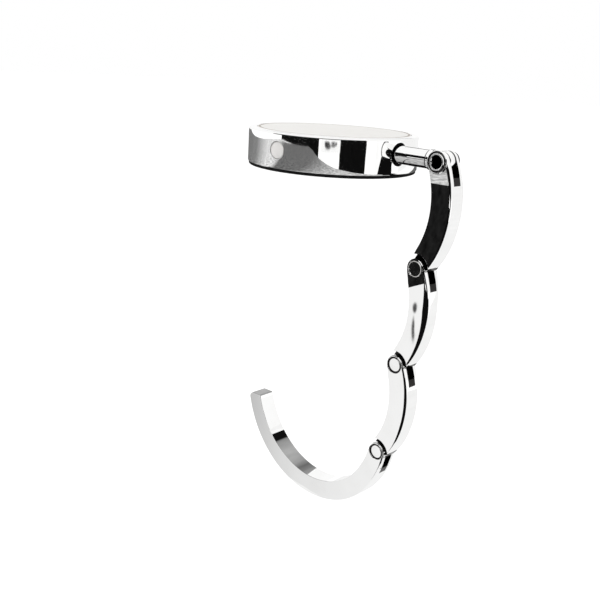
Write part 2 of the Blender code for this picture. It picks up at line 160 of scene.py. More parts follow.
def rimmed(name, outline, rims, width, rimSteps=8, spokes=()):
    # a plate whose rims are rounded, each point of the outline by its own radius,
    # and whose two sides are split at the spokes, pairs of places on the outline
    count = len(outline)
    area = sum(a[0] * b[1] - b[0] * a[1] for a, b in zip(outline, outline[1:] + outline[:1]))
    side = 1 if area > 0 else -1
    quarter = [math.pi / 2 * k / rimSteps for k in range(rimSteps + 1)]
    inward = []
    for i in range(count):
        ahead = outline[(i + 1) % count]
        back = outline[i - 1]
        along = Vector((ahead[0] - back[0], ahead[1] - back[1])).normalized()
        inward.append((-side * along.y, side * along.x))
    form = bmesh.new()
    rings = []
    for face, order in ((-1, reversed(quarter)), (1, quarter)):
        for angle in order:
            ring = []
            for (x, z), (inX, inZ), rim in zip(outline, inward, rims):
                inset = rim * (1 - math.cos(angle))
                y = face * (width / 2 - rim * (1 - math.sin(angle)))
                ring.append(form.verts.new(((x + inX * inset) * mm, y * mm, (z + inZ * inset) * mm)))
            rings.append(ring)
    for ring, after in zip(rings, rings[1:]):
        for i in range(count):
            form.faces.new((ring[i - 1], ring[i], after[i], after[i - 1]))
    for ring in (rings[0], rings[-1]):
        if not spokes:
            form.faces.new(ring)
            continue
        form.faces.new(ring[spokes[0][1]:] + ring[:spokes[0][0] + 1])
        for (start, end), (nextStart, nextEnd) in zip(spokes, spokes[1:]):
            form.faces.new(ring[start:nextStart + 1] + ring[nextEnd:end + 1])
        form.faces.new(ring[spokes[-1][0]:spokes[-1][1] + 1])
    return newPiece(name, form)


def carve(piece, cutter, way="DIFFERENCE"):
    step = piece.modifiers.new("Carve", "BOOLEAN")
    step.operation = way
    step.solver = "EXACT"
    step.object = cutter
    graph = bpy.context.evaluated_depsgraph_get()
    shape = bpy.data.meshes.new_from_object(piece.evaluated_get(graph))
    piece.modifiers.clear()
    piece.data = shape
    bpy.data.objects.remove(cutter)


# edges sharper than these angles, in degrees, stay sharp or get a bevel
edging = {"sharp": 32, "bevel": 38, "segments": 2, "flatWeight": 60}


def settle(piece, body, nodes, material, edge=0.08):
    # a finished piece gets its material, its soft edges and its body
    piece.data.materials.clear()
    piece.data.materials.append(material)
    piece.data.shade_smooth()
    piece.data.set_sharp_from_angle(angle=math.radians(edging["sharp"]))
    if edge:
        bevel = piece.modifiers.new("Edges", "BEVEL")
        bevel.width = edge * mm
        bevel.segments = edging["segments"]
        bevel.limit_method = "ANGLE"
        bevel.angle_limit = math.radians(edging["bevel"])
        bevel.use_clamp_overlap = False
    shading = piece.modifiers.new("Shading", "WEIGHTED_NORMAL")
    shading.keep_sharp = True
    shading.weight = edging["flatWeight"]
    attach(piece, body)
    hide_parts(*nodes)
    say("%s, %d faces" % (piece.name, len(piece.data.polygons)))


def addNode(tree, kind, inputs=(), **settings):
    node = tree.nodes.new(kind)
    for name, value in settings.items():
        setattr(node, name, value)
    for name, value in dict(inputs).items():
        socket = node.inputs[name]
        if isinstance(value, bpy.types.NodeSocket):
            tree.links.new(value, socket)
        else:
            socket.default_value = value
    return node


def maths(tree, operation, first, second=0.5, third=None):
    inputs = {0: first, 1: second}
    if third is not None:
        inputs[2] = third
    return addNode(tree, "ShaderNodeMath", inputs, operation=operation).outputs[0]


def ranged(tree, value, fromLow, fromHigh, toLow, toHigh, smooth=False):
    return addNode(
        tree, "ShaderNodeMapRange",
        {"Value": value, "From Min": fromLow, "From Max": fromHigh, "To Min": toLow, "To Max": toHigh},
        interpolation_type="SMOOTHSTEP" if smooth else "LINEAR",
    ).outputs["Result"]


def noise(tree, place, size, detail, rough=0.5):
    return addNode(tree, "ShaderNodeTexNoise", {
        "Vector": place, "Scale": size, "Detail": detail, "Roughness": rough,
    }).outputs["Fac"]


def lengthOf(tree, vector):
    return addNode(tree, "ShaderNodeVectorMath", {0: vector}, operation="LENGTH").outputs["Value"]


def newGroup(name, inputs, outputs):
    group = bpy.data.node_groups.new(name, "ShaderNodeTree")
    for label, kind, value in inputs:
        socket = group.interface.new_socket(label, in_out="INPUT", socket_type="NodeSocket" + kind)
        if value is not None:
            socket.default_value = value
    for label, kind in outputs:
        group.interface.new_socket(label, in_out="OUTPUT", socket_type="NodeSocket" + kind)
    return group, group.nodes.new("NodeGroupInput"), group.nodes.new("NodeGroupOutput")


# hairlines in three directions, each with a turn and a stretch, and the limits of their mask
# and of the haze's
polish = {
    "hairs": [
        ((0.3, 0.9, 0.2), (1, 14, 1)), ((1.2, 0.1, 0.8), (16, 1, 1)), ((0.7, 2.0, 1.4), (1, 1, 18)),
    ],
    "hairScale": 260, "hairFrom": 0.70, "hairTo": 0.78, "hairDepth": 0.02, "hairRough": 0.12,
    "hazeFrom": 0.42, "hazeTo": 0.72, "hazeRough": 0.10, "swellScale": 140,
}


def polishGroup():
    # hand marks, hairline scratches and the slow swell of a buffed surface
    group, given, result = newGroup(
        "Buffed metal",
        [("Vector", "Vector", None), ("Haze Size", "Float", 160), ("Haze", "Float", 0.5),
         ("Scratches", "Float", 0.5), ("Swell", "Float", 0.5)],
        [("Haze", "Float"), ("Roughness", "Float"), ("Height", "Float")],
    )
    place = given.outputs["Vector"]
    haze = noise(group, place, given.outputs["Haze Size"], 3, 0.55)
    patches = ranged(group, haze, polish["hazeFrom"], polish["hazeTo"], 0, 1, True)
    hazeMask = maths(group, "MULTIPLY", patches, given.outputs["Haze"])
    scratches = None
    for turn, stretch in polish["hairs"]:
        laid = addNode(group, "ShaderNodeMapping", {
            "Vector": place, "Rotation": turn, "Scale": [polish["hairScale"] * s for s in stretch],
        })
        hair = noise(group, laid.outputs["Vector"], 1, 1, 0.4)
        line = ranged(group, hair, polish["hairFrom"], polish["hairTo"], 0, 1)
        scratches = line if scratches is None else maths(group, "MAXIMUM", scratches, line)
    scratchMask = maths(group, "MULTIPLY", scratches, given.outputs["Scratches"])
    swell = noise(group, place, polish["swellScale"], 1, 0.4)
    swellHeight = maths(group, "MULTIPLY", swell, given.outputs["Swell"])
    hairDepth = maths(group, "MULTIPLY", scratchMask, polish["hairDepth"])
    hairRough = maths(group, "MULTIPLY", scratchMask, polish["hairRough"])
    rough = maths(group, "MULTIPLY_ADD", hazeMask, polish["hazeRough"], hairRough)
    group.links.new(hazeMask, result.inputs["Haze"])
    group.links.new(rough, result.inputs["Roughness"])
    group.links.new(maths(group, "SUBTRACT", swellHeight, hairDepth), result.inputs["Height"])
    return group


grainLook = {"pores": 0.5, "blotchFrom": 0.35, "blotchTo": 0.7}


def grainGroup():
    # fine moulded or cast grain with slow blotches
    group, given, result = newGroup(
        "Fine grain",
        [("Vector", "Vector", None), ("Grain Size", "Float", 3000), ("Blotch Size", "Float", 150)],
        [("Grain", "Float"), ("Blotches", "Float"), ("Height", "Float")],
    )
    place = given.outputs["Vector"]
    size = given.outputs["Grain Size"]
    grain = noise(group, place, size, 2)
    pores = addNode(group, "ShaderNodeTexVoronoi", {"Vector": place, "Scale": size})
    poreHeight = maths(group, "MULTIPLY", pores.outputs["Distance"], grainLook["pores"])
    slow = noise(group, place, given.outputs["Blotch Size"], 3)
    blotches = ranged(group, slow, grainLook["blotchFrom"], grainLook["blotchTo"], 0, 1, True)
    group.links.new(grain, result.inputs["Grain"])
    group.links.new(blotches, result.inputs["Blotches"])
    group.links.new(maths(group, "ADD", grain, poreHeight), result.inputs["Height"])
    return group


def paintedRingGroup():
    # a ring mask, round a pin's axis and between two depths along it, all in mm, for painting shade and
    # highlights
    group, given, result = newGroup(
        "Painted pin ring",
        [("Vector", "Vector", None), ("Pin X", "Float", 0), ("Pin Z", "Float", 0),
         ("Inner", "Float", 0), ("Outer", "Float", 2), ("Near", "Float", -1), ("Far", "Float", 1),
         ("Soft", "Float", 0.05)],
        [("Painted Mask", "Float")],
    )
    place = addNode(group, "ShaderNodeSeparateXYZ", {0: given.outputs["Vector"]})
    spotX, deep, spotZ = (maths(group, "MULTIPLY", place.outputs[i], 1 / mm) for i in range(3))
    across = maths(group, "SUBTRACT", spotX, given.outputs["Pin X"])
    rise = maths(group, "SUBTRACT", spotZ, given.outputs["Pin Z"])
    squares = [maths(group, "MULTIPLY", way, way) for way in (across, rise)]
    reach = maths(group, "SQRT", maths(group, "ADD", *squares))
    soft = given.outputs["Soft"]

    def over(value, limit):
        gone = maths(group, "DIVIDE", maths(group, "SUBTRACT", value, limit), soft)
        return ranged(group, gone, -1, 1, 0, 1, True)

    limits = {k: given.outputs[k] for k in ("Inner", "Outer", "Near", "Far")}
    ring = maths(group, "MULTIPLY", over(reach, limits["Inner"]), over(limits["Outer"], reach))
    depth = maths(group, "MULTIPLY", over(deep, limits["Near"]), over(limits["Far"], deep))
    group.links.new(maths(group, "MULTIPLY", ring, depth), result.inputs["Painted Mask"])
    return group


buffed = polishGroup()
fineGrain = grainGroup()
paintedPinRing = paintedRingGroup()


def newMaterial(name):
    material = bpy.data.materials.new(name)
    material.use_nodes = True
    tree = material.node_tree
    shader = tree.nodes["Principled BSDF"]
    place = addNode(tree, "ShaderNodeTexCoord").outputs["Object"]
    return material, tree, shader, place


def crossed(tree, place):
    # the same place with X and Y exchanged, for bores that lie along X
    parts = addNode(tree, "ShaderNodeSeparateXYZ", {0: place}).outputs
    return addNode(tree, "ShaderNodeCombineXYZ", {0: parts[1], 1: parts[0], 2: parts[2]}).outputs[0]


def useGroup(tree, group, inputs):
    node = tree.nodes.new("ShaderNodeGroup")
    node.node_tree = group
    for name, value in inputs.items():
        if isinstance(value, bpy.types.NodeSocket):
            tree.links.new(value, node.inputs[name])
        else:
            node.inputs[name].default_value = value
    return node


def twoColours(tree, share, first, second):
    mix = addNode(tree, "ShaderNodeMix", data_type="RGBA")
    for socket, colour in ((mix.inputs[6], first), (mix.inputs[7], second)):
        if isinstance(colour, bpy.types.NodeSocket):
            tree.links.new(colour, socket)
        else:
            socket.default_value = (*colour, 1)
    tree.links.new(share, mix.inputs[0])
    return mix.outputs[2]


def bumped(tree, shader, marks, look):
    bump = addNode(tree, "ShaderNodeBump", {
        "Height": marks.outputs["Height"], "Strength": 1, "Distance": look["depth"],
    })
    tree.links.new(bump.outputs["Normal"], shader.inputs["Normal"])


# painted shade, dark, and painted highlight, pale
paintedShadeAndHighlight = ((0.022, 0.021, 0.020), (0.62, 0.61, 0.59))
paintedRingRough = 0.2


def metalFinish(name, look, rings=(), light=()):
    # rings of painted shade, dark, and of painted highlight, pale and less metallic
    material, tree, shader, place = newMaterial(name)
    marks = useGroup(tree, buffed, {
        "Vector": place, "Haze Size": look["hazeSize"], "Haze": look["haze"],
        "Scratches": look["scratches"], "Swell": look["swell"],
    })
    colour = twoColours(tree, marks.outputs["Haze"], look["clean"], look["dull"])
    roughness = maths(tree, "ADD", marks.outputs["Roughness"], look["roughness"])
    shader.inputs["Metallic"].default_value = look.get("metal", 1)
    if look.get("crossed"):
        place = crossed(tree, place)
    for kind, paintedRings in ((0, rings), (1, light)):
        mask = None
        for x, z, inner, outer, near, far, soft in paintedRings:
            ring = useGroup(tree, paintedPinRing, {
                "Vector": place, "Pin X": x, "Pin Z": z, "Inner": inner, "Outer": outer,
                "Near": near, "Far": far, "Soft": soft,
            }).outputs["Painted Mask"]
            mask = ring if mask is None else maths(tree, "MAXIMUM", mask, ring)
        if mask is None:
            continue
        colour = twoColours(tree, mask, colour, paintedShadeAndHighlight[kind])
        roughness = maths(tree, "MULTIPLY_ADD", mask, paintedRingRough, roughness)
        if kind:
            tree.links.new(maths(tree, "SUBTRACT", 1, mask), shader.inputs["Metallic"])
    tree.links.new(colour, shader.inputs["Base Color"])
    tree.links.new(roughness, shader.inputs["Roughness"])
    bumped(tree, shader, marks, look)
    return material


def grainFinish(name, look):
    material, tree, shader, place = newMaterial(name)
    grain = useGroup(tree, fineGrain, {
        "Vector": place, "Grain Size": look["grainSize"], "Blotch Size": look["blotchSize"],
    })
    colour = twoColours(tree, grain.outputs["Blotches"], look["first"], look["second"])
    if "line" in look:
        # a fine printed line round the plate's rim
        flat = addNode(tree, "ShaderNodeVectorMath", {0: place, 1: (1, 1, 0)}, operation="MULTIPLY")
        reach = lengthOf(tree, flat.outputs[0])
        inner, outer, soft = (v * mm for v in look["line"])
        inside = ranged(tree, reach, inner - soft, inner + soft, 0, 1, True)
        outside = ranged(tree, reach, outer - soft, outer + soft, 1, 0, True)
        colour = twoColours(tree, maths(tree, "MULTIPLY", inside, outside), colour, look["lineColour"])
    tree.links.new(colour, shader.inputs["Base Color"])
    shader.inputs["Specular IOR Level"].default_value = look.get("shine", 0.5)
    roughness = ranged(tree, grain.outputs["Grain"], 0.3, 0.7, look["roughLow"], look["roughHigh"])
    tree.links.new(roughness, shader.inputs["Roughness"])
    bumped(tree, shader, grain, look)
    return material


pins = [middle("hinge_pin_%d" % i) for i in range(4)]
pinPlaces = [(p.x / mm, p.z / mm) for p in pins]

chromeLook = {
    "clean": (0.97, 0.97, 0.965), "dull": (0.89, 0.885, 0.875), "roughness": 0.02,
    "hazeSize": 170, "haze": 0.3, "scratches": 0.2, "swell": 1.0, "depth": 0.00002,
}
magnetNickel = metalFinish("Magnet nickel", {
    "clean": (0.93, 0.91, 0.89), "dull": (0.87, 0.85, 0.83), "roughness": 0.4,
    "hazeSize": 600, "haze": 0.8, "scratches": 0.6, "swell": 0.4, "depth": 0.00001, "metal": 0.25,
})
plateSteel = metalFinish("Plate steel", {
    "clean": (0.56, 0.56, 0.57), "dull": (0.42, 0.42, 0.42), "roughness": 0.28,
    "hazeSize": 240, "haze": 0.9, "scratches": 1.0, "swell": 0.6, "depth": 0.00002,
})
springSteel = metalFinish("Spring steel", {
    "clean": (0.36, 0.35, 0.34), "dull": (0.22, 0.21, 0.20), "roughness": 0.25,
    "hazeSize": 500, "haze": 0.9, "scratches": 0.8, "swell": 0.3, "depth": 0.00001,
})
enamel = grainFinish("Insert enamel", {
    "first": (0.850, 0.836, 0.808), "second": (0.832, 0.817, 0.787),
    "roughLow": 0.30, "roughHigh": 0.42, "grainSize": 2600, "blotchSize": 120, "depth": 0.0000015,
    "line": (16.0, 16.5, 0.05), "lineColour": (0.36, 0.31, 0.27),
})
rubber = grainFinish("Foot rubber", {
    "first": (0.004, 0.004, 0.004), "second": (0.010, 0.010, 0.010),
    "roughLow": 0.75, "roughHigh": 0.95, "shine": 0.15,
    "grainSize": 4200, "blotchSize": 200, "depth": 0.00001,
})
say("finishes are mixed")

neckLine = middle("neck").z / mm
magnetPlace = middle("disc_magnet")
disc = {
    "radius": 18.5, "bottom": 0.62, "top": 7.9, "edge": 0.5, "lowEdge": 0.15,
    "recess": 16.74, "recessFloor": 7.2, "recessEdge": 0.09,
    "skirt": 17.0, "ledge": 1.9, "cavity": 15.5, "ceiling": 6.77,
    "mouth": 2.35, "mouthFloor": 17.47, "bore": 1.95, "shankBore": 1.4,
    "bossFace": 5.07, "bossBack": 3.47, "bossHalf": 3.2, "bossLow": 2.57,
    "boreEnd": 14, "shankFrom": 6, "shankTo": 2.5, "past": 20, "steps": 256,
}
discBody = turned("discBody", rounded([
    (0, disc["recessFloor"]),
    (disc["recess"], disc["recessFloor"], 0.05),
    (disc["recess"], disc["top"], disc["recessEdge"]),
    (disc["radius"], disc["top"], disc["edge"]),
    (disc["radius"], disc["bottom"], disc["lowEdge"]),
    (disc["skirt"], disc["bottom"]),
    (disc["skirt"], disc["ledge"]),
    (disc["cavity"], disc["ledge"]),
    (disc["cavity"], disc["ceiling"], 0.3),
    (0, disc["ceiling"]),
]), disc["steps"])
carve(discBody, slab("boss", [
    (disc["bossBack"], disc["bossLow"]), (disc["bossFace"], disc["bossLow"]),
    (disc["bossFace"], disc["ceiling"] + 0.2), (disc["bossBack"], disc["ceiling"] + 0.2),
], -disc["bossHalf"], disc["bossHalf"]), "UNION")
neckHeight = (0, 0, neckLine * mm)
carve(discBody, turned("neckHole", [
    (0, disc["past"]), (disc["mouth"], disc["past"]), (disc["mouth"], disc["mouthFloor"]),
    (disc["bore"], disc["mouthFloor"]), (disc["bore"], disc["boreEnd"]), (0, disc["boreEnd"]),
], 96, "alongX", neckHeight))
carve(discBody, turned("shankHole", [
    (0, disc["shankFrom"]), (disc["shankBore"], disc["shankFrom"]),
    (disc["shankBore"], disc["shankTo"]), (0, disc["shankTo"]),
], 64, "alongX", neckHeight))

magnet = {
    "radius": 1.69, "length": 2.0, "gap": 0.08, "room": 0.4, "drop": 0.12,
    "edge": 0.14, "crown": 0.05, "face": 18.42,
}
magnetWay = outFrom(math.atan2(magnetPlace.y, magnetPlace.x))
magnetLine = (0, 0, magnetPlace.z - magnet["drop"] * mm)
holeRadius = magnet["radius"] + magnet["gap"]
holeFloor = disc["radius"] - magnet["length"] - magnet["room"]
carve(discBody, turned("magnetHole", [
    (0, disc["past"]), (holeRadius, disc["past"]), (holeRadius, holeFloor), (0, holeFloor),
], 96, magnetWay, magnetLine))
# painted shade in the mouth of the neck's hole, whose axis lies along X
castChrome = metalFinish("Cast chrome", {**chromeLook, "swell": 1.4, "hazeSize": 110, "crossed": True}, [
    (0, neckLine, 0, disc["mouth"] + 0.03, 15, 19, 0.03),
])
settle(discBody, "disc", ["disc_body"], castChrome, 0.07)

discMagnet = turned("discMagnet", rounded([
    (0, magnet["face"] + magnet["crown"]), (magnet["radius"], magnet["face"], magnet["edge"]),
    (magnet["radius"], magnet["face"] - magnet["length"], 0.1), (0, magnet["face"] - magnet["length"]),
]), 96, magnetWay, magnetLine)
settle(discMagnet, "disc", ["disc_magnet"], magnetNickel, 0)

insert = {"radius": 16.66, "thickness": 0.4, "edge": 0.1}
topInsert = turned("topInsert", rounded([
    (0, disc["top"]), (insert["radius"], disc["top"], insert["edge"]),
    (insert["radius"], disc["top"] - insert["thickness"], 0.05), (0, disc["top"] - insert["thickness"]),
]), disc["steps"])
settle(topInsert, "disc", ["top_insert"], enamel, 0)

pad = {"radius": 18.3, "thickness": 0.55, "edge": 0.16}
rubberPad = turned("rubberPad", rounded([
    (0, pad["thickness"]), (pad["radius"], pad["thickness"], 0.08),
    (pad["radius"], 0, pad["edge"]), (0, 0),
]), disc["steps"])
settle(rubberPad, "disc", ["rubber_pad"], rubber, 0)

neck = {
    "ear": 2.1, "tongue": 1.5, "collarFace": 2.4, "collar": 2.05, "collarThick": 0.8,
    "collarEdge": 0.22, "barrel": 1.85, "barrelLong": 12.4,
    "shank": 1.3, "groove": 1.0, "grooveHalf": 0.45, "shankEnd": 0.95,
    "tongueShare": 0.86, "tongueSweep": 130, "tongueRim": 0.14, "eye": 1.5, "eyeReach": 5,
}
collarBack = neck["collarFace"] + neck["collarThick"]
barrelBack = collarBack + neck["barrelLong"]
ringPlace = middle("neck_retaining_ring").x / mm - pinPlaces[0][0]
neckRod = turned("neckRod", rounded([
    (0, -neck["collarFace"]),
    (neck["collar"], -neck["collarFace"], neck["collarEdge"]),
    (neck["collar"], -collarBack, neck["collarEdge"]),
    (neck["barrel"], -collarBack, 0.05),
    (neck["barrel"], -barrelBack, 0.2),
    (neck["shank"], -barrelBack),
    (neck["shank"], ringPlace + neck["grooveHalf"]),
    (neck["groove"], ringPlace + neck["grooveHalf"]),
    (neck["groove"], ringPlace - neck["grooveHalf"]),
    (neck["shank"], ringPlace - neck["grooveHalf"]),
    (neck["shank"], ringPlace - neck["shankEnd"], 0.2),
    (0, ringPlace - neck["shankEnd"]),
]), 128, "alongX", pins[0])
root = neck["collarFace"] + neck["collarThick"] / 2
flank = neck["ear"] * neck["tongueShare"]
x0, z0 = pinPlaces[0]
sweep = math.radians(neck["tongueSweep"])
tongueOutline = arcPoints(pinPlaces[0], neck["ear"], sweep, -sweep, 72)
tongueOutline += [(x0 - root, z0 - flank), (x0 - root, z0 + flank)]
tongueRims = [neck["tongueRim"]] * len(tongueOutline)
carve(neckRod, rimmed("tongue", tongueOutline, tongueRims, neck["tongue"], 3), "UNION")
carve(neckRod, turned("neckEye", cylinder(neck["eye"], neck["eyeReach"]), 72, "alongY", pins[0]))
# a dark line of painted shade in the crease between the barrel and the collar
neckChrome = metalFinish("Neck chrome", {**chromeLook, "crossed": True}, [
    (0, neckLine, 1.5, 5, x0 - collarBack - 0.22, x0 - collarBack + 0.1, 0.06),
])
settle(neckRod, "neck", ["neck"], neckChrome, 0.06)

chain = {
    "inner": 18.87, "depth": 4.2, "width": 4.4, "slot": 2.1, "slotReach": 3.8, "tongue": 1.5,
    "span": 62.9, "hookSpan": 159.5, "turn": 24.45, "hookTurn": -9.55,
    "restCut": 3.05, "restFlare": 0.42, "cornerFlare": 0.3, "stopCut": 2.5027, "hookStopCut": 2.184,
    "noseSpan": 45, "eye": 1.2, "past": 1.5, "seatDepth": 0.7, "seatEdge": 0.1,
    "heelBack": 2.3, "heelRise": 1.2,
    "paintedShadeReach": 5.6, "paintedShadeSkin": 0.03, "cutSkin": 0.04, "cutBack": 0.05, "cutSoft": 0.08,
    "tipRound": 1.25, "tipInner": 0.4, "tipLean": 0.027, "tipPoints": 4, "rimSmoothing": 6,
    "arcSteps": 80, "hookSteps": 200, "endSteps": 40, "spokeStep": 8,
    "flareSteps": 6, "noseSteps": 24, "cutSteps": 150,
}
ear = chain["depth"] / 2
ringMiddle = chain["inner"] + ear
ringOuter = chain["inner"] + chain["depth"]


def linkOutline(pin, turn, look):
    # from the upper pin down the outer rim, round the end and back up the inner rim
    span = math.radians(look["span"])
    steps = look["steps"]
    centre = polar(pin, ringMiddle, turn + math.pi)
    low = turn - span
    # shares run from the pin to the end, and a link is a little deeper between its joints
    shares = [i / steps for i in range(steps + 1)]
    outline = [polar(centre, ringOuter + between(look["outerSwell"], s), turn - span * s) for s in shares]
    inside = [
        polar(centre, chain["inner"] - between(look["innerSwell"], s), turn - span * s)
        for s in reversed(shares)
    ]
    rims = [between(look["outerRim"], s) for s in shares]
    if look.get("squareEnd"):
        tip = chain["tipPoints"]
        outline = outline[:-tip]
        outline += rounded([
            outline[-1], (*polar(centre, ringOuter + look["outerSwell"][-1][1], low), chain["tipRound"]),
            (*polar(centre, chain["inner"], low + chain["tipLean"]), chain["tipInner"]),
            inside[tip],
        ], steps=10)[1:-1]
        rims = rims[:-tip]
        rims += [look["endRim"]] * (len(outline) - len(rims))
        outline += inside[tip:]
    else:
        end = polar(centre, ringMiddle, low)
        outline += arcPoints(end, ear, low, low - math.pi, chain["endSteps"])[1:-1]
        rims += [look["endRim"]] * (len(outline) - len(rims))
        outline += inside
    rims += [look["innerRim"]] * (len(outline) - len(rims))
    step = chain["spokeStep"]
    spokes = [(i, len(outline) - 1 - i) for i in range(step, steps - step, step)]
    heel = look.get("heel")
    if heel:
        first = Vector(heel[0]) - Vector(pin)
        last = Vector(heel[1]) - Vector(pin)
        leave = (math.atan2(first.y, first.x) + math.acos(ear / first.length)) % (2 * math.pi)
        back = (math.atan2(last.y, last.x) - math.acos(ear / last.length)) % (2 * math.pi)
        if leave < math.pi + turn - 0.05:
            outline += arcPoints(pin, ear, math.pi + turn, leave, 6)[1:]
        outline += list(heel)
        outline += arcPoints(pin, ear, back, turn, chain["endSteps"] // 2)[:-1]
    else:
        outline += arcPoints(pin, ear, turn + math.pi, turn, chain["endSteps"])[1:-1]
    rims += [look["earRim"]] * (len(outline) - len(rims))
    for smoothing in range(chain["rimSmoothing"]):
        rims = [(rims[i - 1] + rims[i] + rims[(i + 1) % len(rims)]) / 3 for i in range(len(rims))]
    return outline, rims, spokes


def sideCutter(name, pin, low, corner, side):
    # clears one side of the tongue round the lower pin, with a rounded mouth
    nose = low + math.radians(chain["noseSpan"])
    flare = chain["restFlare"]
    half = chain["width"] / 2
    levels = [(chain["tongue"] / 2, 0), (half - flare, 0)]
    for k in range(chain["flareSteps"]):
        angle = math.pi / 2 * (k + 1) / chain["flareSteps"]
        levels.append((half - flare * (1 - math.sin(angle)), flare * (1 - math.cos(angle))))
    levels.append((half + chain["past"], flare))
    sections = []
    for depth, wider in levels:
        outline = arcPoints(pin, corner + wider * chain["cornerFlare"], low, nose, chain["noseSteps"])
        outline += arcPoints(pin, chain["restCut"] + wider, nose, low + 2 * math.pi, chain["cutSteps"])
        sections.append((side * depth, outline))
    return stacked(name, sections)


def pinHole(name, pin, head, shank):
    # a bore with a wider seat for the rivet's head at both faces
    half = chain["width"] / 2
    edge = chain["seatEdge"]
    floor = half - chain["seatDepth"]
    profile = cylinder(shank)
    if head:
        side = [
            (0, throughCut), (head + edge, throughCut), (head + edge, half), (head, half - edge),
            (head, floor), (shank, floor),
        ]
        profile = side + [(r, -h) for r, h in reversed(side)]
    return turned(name, profile, 96, "alongY", pin)


def makeLink(name, index, look, body, node):
    pin = pinPlaces[index]
    turn = math.radians(look["turn"])
    low = turn - math.radians(look["span"])
    outline, rims, spokes = linkOutline(pin, turn, look)
    link = rimmed(name, outline, rims, chain["width"], 10, spokes)
    along = Vector(polar((0, 0), 1, turn))
    down = Vector((along.y, -along.x))
    wide = ear + chain["past"]
    slotCorners = [
        Vector(pin) - along * wide - down * wide, Vector(pin) + along * wide - down * wide,
        Vector(pin) + along * wide + down * chain["slotReach"],
        Vector(pin) - along * wide + down * chain["slotReach"],
    ]
    carve(link, slab("slot", [tuple(c) for c in slotCorners], -chain["slot"] / 2, chain["slot"] / 2))
    carve(link, pinHole("bore", pins[index], look["head"], look["shank"]))
    # painted shade on the slot's walls, and on the cut round the lower pin with its tongue
    skin = chain["paintedShadeSkin"]
    slotWall = chain["slot"] / 2 + skin
    rings = [(*pin, 0, chain["paintedShadeReach"], -slotWall, slotWall, skin)]
    if look["corner"]:
        lower = pinPlaces[index + 1]
        for side in (-1, 1):
            carve(link, sideCutter("side", lower, low, look["corner"], side))
        carve(link, turned("eye", cylinder(chain["eye"]), 64, "alongY", pins[index + 1]))
        cutWall = chain["width"] / 2 - chain["restFlare"] - chain["cutBack"]
        cutReach = chain["restCut"] + chain["cutSkin"]
        rings.append((*lower, 0, cutReach, -cutWall, cutWall, chain["cutSoft"]))
    settle(link, body, [node], metalFinish(name + " chrome", chromeLook, rings), 0.07)


# knots of (share of the way down, mm) for the rims' radii and the swell; the heel stops on the neck
heelFace = pinPlaces[0][0] - chain["heelBack"]
linkOne = {
    "turn": chain["turn"], "span": chain["span"], "steps": chain["arcSteps"], "corner": chain["stopCut"],
    "head": 0, "shank": 1.55, "earRim": 0.5, "innerRim": 0.1, "endRim": 0.3,
    "outerSwell": [(0, 0), (0.2, 0.1), (0.8, 0.1), (1, 0)],
    "innerSwell": [(0, 0.1), (0.1, 0.27), (0.85, 0.27), (1, 0)],
    "outerRim": [(0, 0.55), (0.3, 0.55), (0.6, 0.45), (1, 0.4)],
    "heel": [(heelFace, pinPlaces[0][1]), (heelFace, pinPlaces[0][1] + chain["heelRise"])],
}
linkTwo = {
    **linkOne, "heel": (), "head": 1.78, "shank": 1.2, "earRim": 0.36,
    "innerSwell": [(0, 0), (0.12, 0.3), (0.88, 0.3), (1, 0)],
    "outerRim": [
        (0, 0.4), (0.12, 0.5), (0.25, 0.95), (0.37, 1.2), (0.5, 1.0),
        (0.63, 0.8), (0.78, 0.6), (0.9, 0.35), (1, 0.3),
    ],
}
linkThree = {
    **linkTwo, "corner": chain["hookStopCut"],
    "outerRim": [(0, 0.35), (0.12, 0.4), (0.3, 0.56), (0.6, 0.56), (0.75, 0.35), (0.85, 0.2), (1, 0.2)],
}
hookLook = {
    **linkTwo, "turn": chain["hookTurn"], "span": chain["hookSpan"], "steps": chain["hookSteps"],
    "corner": 0, "squareEnd": True, "earRim": 0.34, "endRim": 0.2, "innerRim": 0.12,
    "outerSwell": [(0, 0), (0.12, 0.1), (0.3, 0.3), (0.65, 0.3), (0.9, 0.1), (1, 0.1)],
    "innerSwell": [(0, 0), (0.1, 0.17), (0.9, 0.17), (0.97, 0), (1, 0)],
    "outerRim": [(0, 0.34), (0.1, 0.34), (0.2, 0.25), (1, 0.25)],
}
makeLink("linkUpper", 0, linkOne, "upper_link", "link_1")
makeLink("linkMiddle", 1, linkTwo, "middle_link", "link_2")
makeLink("linkLower", 2, linkThree, "lower_link", "link_3")
makeLink("bagHook", 3, hookLook, "bag_hook", "hook")

# the tubular pin has a beaded flange and a flared mouth in front, and a small clinched end behind
tube = {"flange": 2.3, "clinch": 1.9, "under": 2.22, "top": 2.65, "shank": 1.45, "bore": 0.95}
under, top = tube["under"], tube["top"]
tubeProfile = [
    # radius, height and rounding, from the clinched end to the flange
    (tube["shank"], under), (tube["clinch"], under, 0.1), (tube["clinch"], top, 0.2), (1.3, top, 0.15),
    (tube["bore"], top - 0.5, 0.3), (tube["bore"], 1.0 - top, 0.4), (1.38, -top + 0.02, 0.1),
    (1.62, -top, 0.1), (1.74, -top + 0.24, 0.06), (2.0, -top + 0.26, 0.08), (2.14, -top + 0.1, 0.08),
    (tube["flange"], -under - 0.12, 0.06), (tube["flange"], -under, 0.04), (tube["shank"], -under),
]
pinLook = {**chromeLook, "roughness": 0.04, "haze": 0.5, "hazeSize": 420}
# painted shade in the flange's groove and down the bore
tubeChrome = metalFinish("Tube chrome", pinLook, [
    (*pinPlaces[0], 1.74, 2.06, -3, 3, 0.06), (*pinPlaces[0], 0, 1.2, -2.15, 2.15, 0.15),
])
tubePin = turned("tubePin", rounded(tubeProfile, closed=True), 96, "alongY", pins[0], closed=True)
settle(tubePin, "upper_link", ["hinge_pin_0"], tubeChrome, 0)

